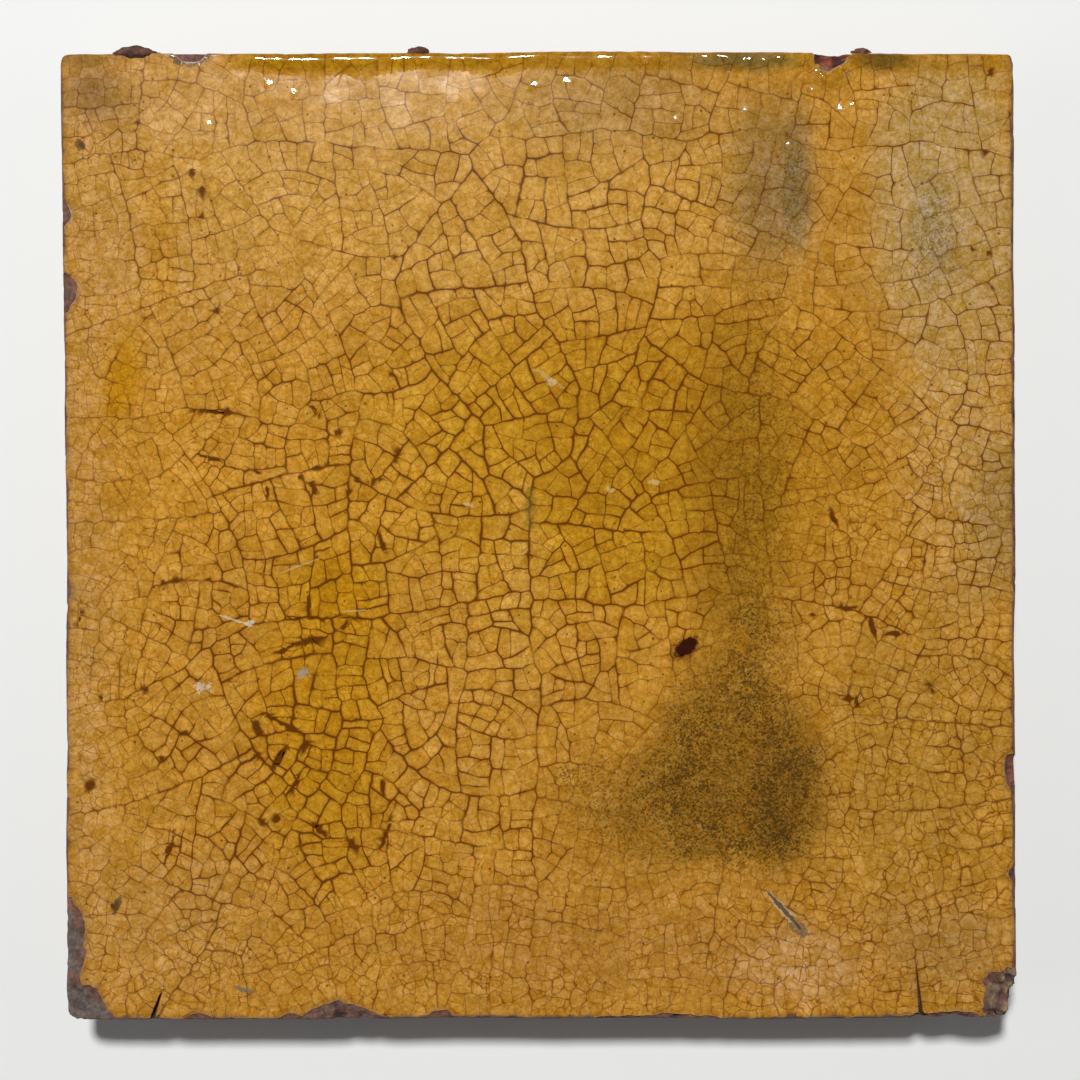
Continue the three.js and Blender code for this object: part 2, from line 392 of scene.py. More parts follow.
# Where glaze has flaked off and dirt has settled. Spots: photo pixels, and the radius in millimetres.
# Dashes along the cracks: photo pixels, half length and half width in millimetres, and turn in degrees
losses = {
    "spots": [
        (80, 144, 0.7), (137, 121, 0.5), (192, 173, 0.7), (201, 190, 0.9), (203, 214, 0.6), (992, 71, 0.8),
        (1011, 106, 0.6), (983, 156, 0.7), (973, 249, 0.5), (987, 253, 0.5), (996, 285, 0.5),
        (215, 311, 0.5), (394, 262, 0.7), (388, 374, 0.6), (226, 413, 1.0), (335, 432, 1.0),
        (297, 478, 0.7), (317, 470, 0.8), (313, 480, 0.9), (357, 477, 0.6), (348, 492, 0.7),
        (208, 576, 0.5), (165, 582, 0.5), (147, 690, 1.0), (98, 697, 0.6), (183, 731, 0.8), (163, 757, 0.8),
        (90, 786, 1.3), (258, 758, 0.8), (264, 824, 0.9), (276, 820, 0.9), (116, 907, 0.8), (812, 616, 0.5),
        (924, 560, 0.5),
    ],
    "dashes": [
        (310, 641, 3.8, 0.75, 12), (284, 650, 2.6, 0.4, 22), (309, 607, 2.6, 0.6, 90),
        (320, 618, 10, 0.3, 0), (344, 626, 1.6, 0.5, 70), (282, 723, 6.0, 0.5, -27),
        (258, 729, 2.2, 0.8, -60), (279, 757, 3.2, 0.8, 60), (305, 747, 2.0, 0.75, 65),
        (293, 786, 4.0, 0.45, 60), (319, 829, 2.6, 0.65, -35), (352, 843, 2.2, 0.65, -50),
        (386, 832, 4.2, 0.42, 72), (383, 787, 2.0, 0.5, 90), (215, 412, 6.0, 0.32, -3),
        (211, 458, 3.0, 0.45, -18), (374, 481, 2.8, 0.45, 12), (314, 488, 2.0, 0.4, 90),
        (267, 493, 1.7, 0.42, -82), (382, 543, 2.5, 0.7, -72), (316, 412, 1.8, 0.4, -50),
        (398, 456, 2.0, 0.38, 60), (255, 471, 1.6, 0.4, -20), (833, 517, 2.5, 0.5, -65),
        (847, 608, 2.8, 0.5, 0), (873, 627, 2.4, 0.6, -75), (893, 634, 2.0, 0.42, 5),
        (850, 699, 1.8, 0.5, 5), (856, 703, 1.6, 0.5, 90), (931, 687, 1.6, 0.5, -60),
        (170, 848, 4.0, 0.4, 70), (80, 618, 2.0, 0.32, 70), (176, 581, 2.4, 0.35, 3),
    ],
}


def insideRing(places, ring):
    # even-odd rule for many places against one closed ring
    x, y = (places[:, k][:, None] for k in (0, 1))
    after = np.roll(ring, -1, axis=0)
    spans = (ring[:, 1] > y) != (after[:, 1] > y)
    rise = after[:, 1] - ring[:, 1]
    rise = np.where(rise == 0, 1e-12, rise)
    meets = ring[:, 0] + (y - ring[:, 1]) * (after[:, 0] - ring[:, 0]) / rise
    return ((spans & (x < meets)).sum(1) % 2) == 1


def ringArea(ring):
    # signed area and middle of a closed ring
    after = np.roll(ring, -1, axis=0)
    cross = ring[:, 0] * after[:, 1] - after[:, 0] * ring[:, 1]
    area = cross.sum() / 2
    return area, ((ring + after) * cross[:, None]).sum(0) / (6 * area)


def crazeField(places, key):
    # the crazing values of the areas, weighted by nearness, over the value of the rest
    column = crazeKeys.index(key)
    weight = np.full(len(places), 0.25)
    total = weight * crazeRest[column]
    for at, half, values in crazeAreas.values():
        near = photoSpot(places, at, half)
        weight = weight + near
        total = total + near * values[column]
    return total / weight


class CrackNet:
    # the glaze face as plates that share their edge points: each crack splits one plate in two
    def __init__(self, outline):
        room = 90000
        self.places = np.zeros((room, 2))
        self.wide = np.zeros(room)
        self.dark = np.zeros(room)
        self.joints = np.zeros(room, int)
        self.count = self.edgeCount = len(outline)
        self.places[:self.count] = outline
        self.plates = [list(range(self.count))]

    def split(self, plate, start, end, line, wide, dark):
        # the plate's ring is cut at its points number start and end, along the line between them
        first = self.count
        self.count += len(line)
        self.places[first:self.count] = line
        self.wide[first:self.count] = wide
        self.dark[first:self.count] = dark
        inner = list(range(first, self.count))
        if start > end:
            start, end = end, start
            inner.reverse()
        for corner in (plate[start], plate[end]):
            self.joints[corner] += 1
            if corner >= self.edgeCount:
                self.wide[corner] = max(self.wide[corner], wide)
        return [plate[start:end + 1] + inner[::-1], plate[end:] + plate[:start + 1] + inner]

    def leastPart(self, ring, start, end, line):
        # the smaller area of the two parts that a split would give
        if start > end:
            start, end = end, start
            line = line[::-1]
        one = np.vstack((ring[start:end + 1], line[::-1]))
        two = np.vstack((ring[end:], ring[:start + 1], line))
        return min(ringArea(one)[0], ringArea(two)[0])

    def reachEdge(self, ring, plate, tip, heading):
        # the ring point that a crack running on from its tip would meet: near, ahead and not yet a joint
        away = ring - tip
        far = lengths(away) + 1e-9
        cost = far * (1.7 - (away @ heading) / far) + 2.0 * (self.joints[plate] > 0)
        for pick in np.argsort(cost)[:25]:
            test = tip + away[pick] * np.linspace(0.05, 0.95, 19)[:, None]
            if insideRing(test, ring).all():
                return int(pick)
        return int(np.argmin(cost))

    def addCrack(self, line, wide, dark, spacing):
        # a crack along the line, through the plate that holds its middle, run on at both ends to the ring
        path = samplePath(line, spacing)
        side = np.gradient(path, axis=0)[:, ::-1] * (1, -1)
        path = path + side * latticeNoise(path, (0.6, 4.0, 21), (0.35, 1.8, 22))[:, None]
        first = last = len(path) // 2
        for number, plate in enumerate(self.plates):
            ring = self.places[plate]
            if insideRing(path[first:first + 1], ring)[0]:
                break
        else:
            return
        good = insideRing(path, ring) & (lengths(path[:, None] - ring[None]).min(1) > 0.6 * spacing)
        if not good[first]:
            return
        while first > 0 and good[first - 1]:
            first -= 1
        while last < len(path) - 1 and good[last + 1]:
            last += 1
        path = path[first:last + 1]
        if len(path) < 3:
            return
        start = self.reachEdge(ring, plate, path[0], unit(path[0] - path[2]))
        end = self.reachEdge(ring, plate, path[-1], unit(path[-1] - path[-3]))
        if start == end:
            return
        lead = samplePath((ring[start], path[0]), spacing)[1:-1]
        tail = samplePath((path[-1], ring[end]), spacing)[1:-1]
        path = np.vstack((lead, path, tail))
        if self.leastPart(ring, start, end, path) > cracking["leastPlate"]:
            self.plates[number:number + 1] = self.split(plate, start, end, path, wide, dark)

    def trySplit(self, plate):
        # of the cracks between two ring points, the cheapest that leaves both parts large enough: a crack
        # costs less if it meets the ring squarely, is short and halves the plate, and more at a joint
        ring = self.places[plate]
        area, _ = ringArea(ring)
        count = len(plate)
        inward = ringInward(ring)
        taken = self.joints[plate] > 0
        crowded = 0.7 * (taken | np.roll(taken, 1) | np.roll(taken, -1))
        starts = rng.choice(count, min(count, cracking["starts"]), replace=False)
        away = ring[None] - ring[starts][:, None]
        far = lengths(away) + 1e-9
        leave = (away * inward[starts][:, None]).sum(2) / far
        arrive = -(away * inward[None]).sum(2) / far
        gap = np.abs(np.arange(count)[None] - starts[:, None])
        gap = np.minimum(gap, count - gap)
        cost = 3 - leave - arrive + 1.3 * far / math.sqrt(area) - 2.8 * gap / count
        cost += crowded[None] + crowded[starts][:, None] + rng.uniform(0, 0.3, cost.shape)
        cost[gap < 3] = 99
        for rank, pick in enumerate(np.argsort(cost, axis=None)[:cracking["tries"]]):
            start = int(starts[pick // count])
            end = int(pick % count)
            line = self.joinLine(ring, start, end)
            least = cracking["fairShare" if rank < cracking["fairTries"] else "leastShare"] * area
            if line is None or self.leastPart(ring, start, end, line) < least:
                continue
            widen = next(factor for above, factor in cracking["widen"] if area > above)
            wide = cracking["wide"] * widen * rng.uniform(0.7, 1.25)
            dark = rng.uniform(0.8 if area > cracking["oldArea"] else 0.45, 1.0)
            return self.split(plate, start, end, line, wide, dark)
        return None

    def joinLine(self, ring, start, end):
        # a cubic curve between two ring points that leaves both square to the ring, bowed and wandering
        here, there = ring[start], ring[end]
        chord = there - here
        far = lengths(chord)
        steps = max(int(round(far / cracking["spacing"])), 2)
        share = np.linspace(0, 1, steps + 1)[1:-1, None]
        leave = square(ring[(start + 1) % len(ring)] - ring[start - 1])
        arrive = -square(ring[(end + 1) % len(ring)] - ring[end - 1])
        bend = cracking["squareness"]
        leave, arrive = (far * (bend * way + (1 - bend) * chord / far) for way in (leave, arrive))
        line = ((2 * share ** 3 - 3 * share ** 2 + 1) * here + (share ** 3 - 2 * share ** 2 + share) * leave
                + (-2 * share ** 3 + 3 * share ** 2) * there + (share ** 3 - share ** 2) * arrive)
        bow = rng.normal(0, cracking["bow"]) * far * 4 * share[:, 0] * (1 - share[:, 0])
        wander = rng.normal(0, cracking["wander"], len(line)) * min(far, cracking["wanderLength"])
        line = line + np.outer(bow + wander, square(chord))
        if not insideRing(line, ring).all():
            return None
        apart = lengths(line[:, None] - ring[None]).min()
        return line if apart > cracking["clearance"] * cracking["spacing"] else None

    def craze(self):
        # plates are split again and again until each is small enough for its area of the face
        waiting = self.plates
        self.plates = []
        while waiting:
            plate = waiting.pop()
            area, middle = ringArea(self.places[plate])
            size = crazeField(middle[None], "plate")[0]
            wanted = size * size * rng.uniform(*cracking["sizeSpread"])
            parts = self.trySplit(plate) if area > wanted and len(plate) > 6 else None
            if parts:
                waiting.extend(parts)
            else:
                self.plates.append(plate)

    def relax(self, rounds):
        # each point of a crack moves half way to the middle of its neighbours; where cracks meet, the point
        # follows only by the roundness of its area, so that most cracks still meet squarely
        sides = np.vstack([np.column_stack((plate, np.roll(plate, -1))) for plate in self.plates])
        sides = np.unique(np.sort(sides, axis=1), axis=0)
        degree = np.bincount(sides.ravel(), minlength=self.count)
        give = 0.5 * np.where(degree == 2, 1.0, crazeField(self.places[:self.count], "round"))
        for _ in range(rounds):
            total = np.zeros((self.count, 2))
            np.add.at(total, sides[:, 0], self.places[sides[:, 1]])
            np.add.at(total, sides[:, 1], self.places[sides[:, 0]])
            move = give[:, None] * (total / degree[:, None] - self.places[:self.count])
            self.places[self.edgeCount:self.count] += move[self.edgeCount:]


def crackFace(edge):
    # the main cracks first, then the crazing, then the dashes; the whole net is then eased and shaken
    net = CrackNet(edge)
    for line, wide in mainCracks.values():
        net.addCrack(fromPhoto(line), cracking["mainWiden"] * wide, 1.0, cracking["spacing"])
    print("main cracks done, plates:", len(net.plates))
    net.craze()
    for x, y, half, _, turn in losses["dashes"]:
        reach = half * np.array((math.cos(math.radians(turn)), math.sin(math.radians(turn))))
        for shift in (-0.6, 0.0, 0.6) if half > 2.5 else (0.0,):
            at = fromPhoto((x, y))[0] + shift * reach
            net.addCrack((at - 0.5 * reach, at + 0.5 * reach), cracking["wide"], 1.0, cracking["dashSpacing"])
    net.relax(cracking["relaxRounds"])
    net.places[net.edgeCount:net.count] += rng.normal(0, cracking["shake"], (net.count - net.edgeCount, 2))
    print("crazing done, plates:", len(net.plates), "points:", net.count)
    return net


def coatOutline():
    # the slab's outline moved in by each side's inset with some raggedness, then broken back at the chips
    ring = slabOutline(coat["outlineSpacing"])
    inward = ringInward(ring)
    inset = np.zeros(len(ring))
    for side, margin in zip(sideFacings, coat["insets"]):
        inset += margin * np.maximum(-inward @ side, 0) ** 2
    worn = np.maximum(inward[:, 1], 0)
    ragged = latticeNoise(ring, (0.16, 5.0, 3), (0.16, 1.7, 4))
    ragged += (0.8 + 0.8 * worn) * held(latticeNoise(ring, (1, 2.4, 5)) - 0.5)
    ragged += 0.3 * worn * held(latticeNoise(ring, (1, 0.9, 6)))
    ring = ring + inward * (inset + ragged * held(inset / 0.4, 0.3))[:, None]
    towards = -unit(ring)
    broken = np.zeros(len(ring), bool)
    for number, (at, half, soil, _) in enumerate(chips.values()):
        # an old, soiled break is worn smoother than a fresh one
        uneven = latticeNoise(ring, (0.22, 2.4, 40 + number), (0.1, 1.0, 60 + number))
        rough = 1.06 + (1.25 - 0.85 * soil) * uneven
        ring, hit = leaveHollow(ring, towards, np.array(at), np.array(half[:2]) * rough[:, None])
        broken |= hit
    for tip, mouth, width, _ in slits.values():
        # the edge points across the mouth give way to the slit's two sides
        across = np.nonzero((ring[:, 1] < -97) & (np.abs(ring[:, 0] - mouth[0]) < width / 2))[0]
        start, end = across.min(), across.max()
        walls = np.vstack((samplePath((ring[start], tip), coat["outlineSpacing"]),
                           samplePath((tip, ring[end]), coat["outlineSpacing"])[1:]))
        ring = np.vstack((ring[:start], walls, ring[end + 1:]))
        broken = np.concatenate((broken[:start], np.ones(len(walls), bool), broken[end + 1:]))
    edge = samplePath(ring, coat["edgeSpacing"], closed=True)
    nearest = lengths(edge[:, None] - ring[None]).argmin(1)
    return edge, broken[nearest].astype(float)


def edgeDistance(places, edge):
    # distance to the coat's edge and the number of the nearest edge point, far from the edge a fixed 99
    far = np.full(len(places), 99.0)
    nearest = np.zeros(len(places), int)
    close = np.nonzero((np.abs(places[:, 0]) > 84) | (np.abs(places[:, 1]) > 86))[0]
    for part in np.array_split(close, max(len(close) // 4000, 1)):
        apart = lengths(places[part][:, None] - edge[None])
        far[part] = apart.min(1)
        nearest[part] = apart.argmin(1)
    return far, nearest


def beadDepth(places, edge):
    # how far a place lies in from the +Y edge
    top = edge[edge[:, 1] > coat["beadEdge"]]
    top = top[np.argsort(top[:, 0])]
    return np.interp(places[:, 0], top[:, 0], top[:, 1]) - places[:, 1]


def faceHeight(places, edge, broken):
    # slow waves over the face, the bead along +Y, domes of height (1 - r^2)^1.5, and the rounding at its edge
    far, nearest = edgeDistance(places, edge)
    height = slab["thickness"] + latticeNoise(places, (0.1, 48, 8), (0.035, 13, 9))
    fadeIn, fadeOut = coat["beadFades"]
    ends = held((places[:, 0] - coat["beadFrom"]) / fadeIn) * held((coat["beadTo"] - places[:, 0]) / fadeOut)
    depth = beadDepth(places, edge)
    lengthwise = places[:, :1].repeat(2, 1)
    width = coat["beadWidth"] * (1 + latticeNoise(lengthwise, (0.22, 9, 10)))
    rise = coat["beadRise"] * (1 + latticeNoise(lengthwise, (0.35, 6, 11)))
    height += rise * ends * np.sin(math.pi * held(depth / width) ** 0.6) ** 1.5 * (depth > 0)
    for x, y, along, across, up in blisters:
        away = (places - fromPhoto((x, y))) / (along, across)
        height += up * held(1 - (away ** 2).sum(1)) ** 1.5
    for at, half, rough, lump in boiled.values():
        height += photoSpot(places, at, half, 0, 3.0) * latticeNoise(places, (rough, lump, 12))
    radius = np.where(broken[nearest] > 0.5, coat["brokenRound"], coat["edgeRound"])
    within = held(radius - far, 0, radius)
    return height - (radius - np.sqrt(np.maximum(radius ** 2 - within ** 2, 0)))


# Colours of the fired glaze, as soft patches laid over the honey ground in this order: middle and half
# size in photo pixels, turn in degrees, how crisp the border is, colour and strength
glazeGround = "#be8730"
glazePatches = {
    "pale top left": ((160, 190), (130, 160), 0, 1.5, "#c0914c", 0.9),
    "left band": ((80, 580), (36, 420), 0, 1.5, "#ba8a46", 0.9),
    "pale top": ((470, 190), (330, 125), 0, 3.0, "#c39240", 0.9),
    "amber field": ((600, 460), (270, 155), 0, 2.5, "#bd8919", 0.85),
    "deep amber": ((650, 430), (130, 120), 0, 1.5, "#a87412", 0.55),
    "left amber": ((250, 470), (150, 110), 0, 1.5, "#c48b2f", 0.7),
    "yellow pool": ((330, 710), (75, 190), 0, 2.0, "#b98212", 0.85),
    "amber drop": ((345, 590), (45, 40), 0, 1.5, "#b67f04", 0.7),
    "left amber streak": ((122, 380), (20, 60), -12, 1.5, "#b57c04", 0.95),
    "upper amber strip": ((160, 250), (17, 85), 4, 2.5, "#b98222", 0.75),
    "left amber drop": ((114, 496), (17, 18), 0, 1.5, "#b27a10", 0.65),
    "pale spine": ((518, 590), (26, 115), 0, 1.5, "#cb983e", 0.7),
    "pale middle": ((455, 690), (60, 170), 0, 1.5, "#c58f38", 0.65),
    "upper right": ((945, 230), (88, 190), 0, 2.5, "#b1915b", 0.9),
    "amber column": ((840, 230), (38, 110), 0, 2.0, "#b78330", 0.85),
    "right amber": ((850, 440), (65, 140), 0, 1.5, "#b78026", 0.75),
    "right beige": ((960, 460), (60, 170), 0, 1.5, "#be924e", 0.8),
    "right grey edge": ((995, 515), (34, 85), 0, 1.5, "#a18048", 0.8),
    "lower right": ((910, 760), (105, 170), 0, 1.5, "#b08232", 0.85),
    "olive streak": ((742, 500), (62, 195), 0, 1.6, "#926614", 0.85),
    "olive head": ((772, 180), (48, 95), 0, 1.5, "#8b6d3e", 0.85),
    "grey lip": ((620, 105), (110, 55), 0, 1.5, "#a67d40", 0.8),
    "dirty corner": ((95, 95), (36, 34), 0, 1.0, "#80603c", 0.75),
    "cloud": ((735, 770), (90, 105), 0, 3.0, "#8e6218", 0.85),
    "cloud heart": ((785, 800), (42, 70), 0, 2.0, "#855c18", 0.75),
    "cloud lobe": ((640, 810), (78, 60), 0, 1.5, "#96691f", 0.75),
    "pale bottom": ((620, 945), (300, 62), 0, 1.5, "#b37f36", 0.8),
    "pink bottom right": ((795, 968), (58, 38), 0, 2.0, "#c69458", 0.85),
    "pale bottom left": ((160, 920), (105, 90), 0, 1.5, "#bb8a44", 0.8),
    "bottom right": ((945, 950), (70, 55), 0, 1.5, "#ab8042", 0.75),
    "ash bloom": ((935, 230), (26, 58), 8, 1.5, "#9c855e", 0.75),
    "ash bloom left": ((797, 185), (15, 72), 0, 2.0, "#7f6b45", 0.65),
}

# Patches of the lip itself, laid over the amber of the bead
lipPatches = {
    "left lip": ((86, 60), (28, 8), 0, 2.0, "#8a6420", 0.7),
    "olive lip": ((745, 61), (58, 9), 0, 2.0, "#6a5c2e", 0.85),
    "dark lip": ((884, 59), (32, 10), 0, 2.0, "#4a3f12", 0.75),
}

# Sooty grains lying in the glaze: middle and half size in photo pixels, how crisp the border is, and share
grimePatches = {
    "cloud": ((738, 770), (88, 105), 3.0, 0.5),
    "cloud heart": ((788, 800), (36, 68), 2.0, 0.32),
    "cloud foot": ((740, 848), (75, 26), 1.5, 0.25),
    "cloud lobe": ((630, 800), (80, 60), 1.5, 0.44),
    "cloud tip": ((568, 777), (12, 12), 1.0, 0.5),
    "cloud left": ((688, 705), (34, 50), 1.5, 0.13),
    "cloud top": ((755, 650), (45, 70), 1.5, 0.35),
    "streak": ((755, 470), (42, 190), 1.5, 0.34),
    "head": ((797, 185), (17, 74), 2.0, 0.34),
    "head left": ((745, 185), (42, 70), 1.0, 0.22),
    "upper bloom": ((937, 235), (26, 60), 1.5, 0.36),
}


def layColour(tint, colour, share):
    tint += (hexColour(colour) - tint) * share[:, None]


def glazeTint(places, edge):
    # the honey ground, the patches over it, the amber of the bead, the patches of the lip, and worn edges
    tint = np.tile(hexColour(glazeGround), (len(places), 1))
    ragged = 0.28 * latticeNoise(places, (0.5, 9, 14), (0.3, 3.5, 15))
    bead = held((coat["beadWidth"] - beadDepth(places, edge)) / 1.1 + latticeNoise(places, (0.5, 3, 20)))
    bead *= held((places[:, 0] - coat["beadFrom"]) / coat["beadFades"][0])
    bead *= held(0.8 - places[:, 0] / 120, 0.6, 0.95)
    for patches in (glazePatches, lipPatches):
        for at, half, turn, crisp, colour, share in patches.values():
            layColour(tint, colour, share * photoSpot(places, at, half, turn, crisp, ragged))
        if patches is glazePatches:
            layColour(tint, coat["beadColour"], bead)
    far, _ = edgeDistance(places[:, :2], edge)
    worn = held(1 - far / coat["wornWidth"]) * held(0.55 + latticeNoise(places, (0.6, 4, 18)))
    layColour(tint, coat["wornColour"], 0.55 * worn)
    return tint


def grimeShare(places):
    # how much soot lies at a place, from the patches with ragged borders
    ragged = 0.22 * latticeNoise(places, (0.6, 7, 16), (0.4, 2.8, 17))
    share = sum(strength * photoSpot(places, at, half, 0, crisp, ragged)
                for at, half, crisp, strength in grimePatches.values())
    return held(share * (1 + latticeNoise(places, (0.25, 2.2, 19))))


def addNode(tree, kind, inputs=None, output=0, **settings):
    # adds one node with its settings and gives back one of its outputs; an input is a value, a hex colour
    # or another node's output. Sockets that share a name go by number: on Map Range the limits 1 and 2
    # become 3 and 4, and on a colour Mix 7 lies over 6 by the share 0
    node = tree.nodes.new("ShaderNode" + kind)
    for name, value in settings.items():
        setattr(node, name, value)
    for socket, value in (inputs or {}).items():
        if isinstance(value, bpy.types.NodeSocket):
            tree.links.new(value, node.inputs[socket])
        else:
            node.inputs[socket].default_value = rgba(value) if isinstance(value, str) else value
    return node.outputs[output] if node.outputs else None


def newMaterial(name):
    # an empty node tree, the function that adds to it, and the object's own coordinates
    material = bpy.data.materials.new(name)
    material.use_nodes = True
    material.node_tree.nodes.clear()
    add = partial(addNode, material.node_tree)
    return material, add, add("TexCoord", output="Object")


def perMetre(sizeMm):
    # a texture scale whose features are about this many millimetres across
    return 1 / (sizeMm * mm)


def noiseSettings(sizeMm, detail, rough):
    return {"Scale": perMetre(sizeMm), "Detail": detail, "Roughness": rough}


def wandering(add, place, look, reach):
    # a vector that wanders about zero by a share of the reach
    shake = add("TexNoise", {"Vector": place, **noiseSettings(*look)}, "Color")
    shake = add("VectorMath", {0: shake, 1: (0.5, 0.5, 0.5)}, operation="SUBTRACT")
    return add("VectorMath", {0: shake, "Scale": reach}, operation="SCALE")


def layOver(add, colour, layers):
    # colours laid one over the other, each by its share
    for share, tone in layers:
        colour = add("Mix", {0: share, 6: colour, 7: tone}, 2, data_type="RGBA")
    return colour


def finishSurface(add, look, colour, rough, height):
    strength, distance = look["bump"]
    bump = add("Bump", {"Height": height, "Strength": strength, "Distance": distance * mm})
    shader = add("BsdfPrincipled", {"Base Color": colour, "Roughness": rough, "Normal": bump,
                                    "IOR": look["ior"]})
    add("OutputMaterial", {"Surface": shader})


# Marks in the glaze: middle in photo pixels, half sizes in millimetres, turn in degrees, colour, share and
# how ragged the border is
glazeMarks = {
    "green stain": ((530, 506), (1.2, 5.2), 0, "#55521a", 0.4, 1.0),
    "iron spot glow": ((684, 649), (3.9, 2.4), 38, "#5a2c08", 0.45, 0.7),
    "iron spot": ((686, 647), (2.9, 1.6), 38, "#2e0603", 0.97, 0.45),
    "long scratch": ((234, 620), (3.8, 0.24), -18, "#dccfb0", 0.45, 1.2),
    "scratch head": ((250, 623), (0.9, 0.6), 40, "#e6dcc4", 0.5, 1.4),
    "upper scratch": ((299, 566), (4.6, 0.2), 20, "#d2c4a0", 0.3, 1.2),
    "right scratch": ((353, 611), (3.6, 0.2), 5, "#d2c4a0", 0.32, 1.2),
    "pale scuff": ((202, 687), (1.7, 1.1), 0, "#dcc9a6", 0.6, 1.8),
    "grey spot": ((304, 673), (1.6, 0.9), 35, "#9a9484", 0.7, 1.6),
    "lower grey spot": ((244, 990), (2.0, 0.7), -12, "#6f675c", 0.7, 1.2),
    "brown smear": ((117, 905), (0.8, 2.2), -14, "#55422a", 0.75, 0.9),
    "left stain": ((80, 144), (1.3, 1.1), 0, "#5a4026", 0.75, 1.0),
    "rubbed streak": ((548, 378), (3.4, 0.5), -33, "#d9c08c", 0.3, 1.6),
    "rubbed knot": ((551, 382), (1.0, 0.7), 0, "#e3d2a8", 0.3, 1.8),
    "rubbed spot": ((609, 489), (1.0, 0.7), 40, "#dcc490", 0.4, 1.8),
    "rubbed spot right": ((655, 482), (1.3, 0.8), 10, "#dcc490", 0.4, 1.8),
    "rubbed spot left": ((470, 505), (1.2, 0.5), 0, "#dcc490", 0.4, 1.8),
    "scorched edge": ((190, 57), (4.2, 1.7), 0, "#5d4a3a", 0.85, 0.8),
    "gouge rim": ((786, 913), (6.6, 0.9), -48, "#cdbb98", 0.45, 1.0),
    "gouge end": ((799, 928), (2.4, 1.1), -48, "#6a5138", 0.75, 1.3),
    "gouge": ((783, 909), (5.4, 0.45), -48, "#4a392b", 0.85, 1.0),
}

# The glaze: its noises, each with the size of its features in millimetres, its detail and its roughness,
# the tints of thick and thin glaze as factors of its colour, sizes of its other patterns in millimetres,
# roughness where it is whole and what a broken edge adds, strength and depth of the bump, and IOR
glazeLook = {
    "noises": {
        "thin": (2.2, 6.0, 0.8),
        "mottle": (8, 4.0, 0.6),
        "grain": (0.75, 2.0, 0.7),
        "gaps": (4.0, 3.0, 0.5),
        "skin": (2.2, 3.0, 0.5),
    },
    "thick": (0.88, 0.81, 0.42),
    "thin": (1.12, 1.18, 1.45),
    "pinholeApart": 2.0,
    "fineCell": 2.6,
    "fineWander": (3.0, 2.0, 0.5),
    "fineReach": 3.0,
    "sootGrain": 0.36,
    "markWander": (1.3, 4.0, 0.7),
    "roughness": (0.08, 0.11),
    "brokenRoughness": 0.7,
    "bump": (0.1, 0.15),
    "ior": 1.58,
}


def markShare(add, place, at, half, turn, share, ragged):
    # the share inside a turned ellipse with a ragged border, 0 outside it
    local = add("Mapping", {
        "Vector": place, "Location": (*(fromPhoto(at)[0] * mm), 0), "Rotation": (0, 0, math.radians(turn)),
        "Scale": (*(np.array(half) * mm), 1),
    }, vector_type="TEXTURE")
    shake = wandering(add, place, glazeLook["markWander"], 2.6 * ragged)
    local = add("VectorMath", {0: local, 1: shake}, operation="ADD")
    far = add("VectorMath", {0: local}, "Value", operation="LENGTH")
    return add("MapRange", {0: far, 1: 0.85, 2: 1.1, 3: share, 4: 0.0})


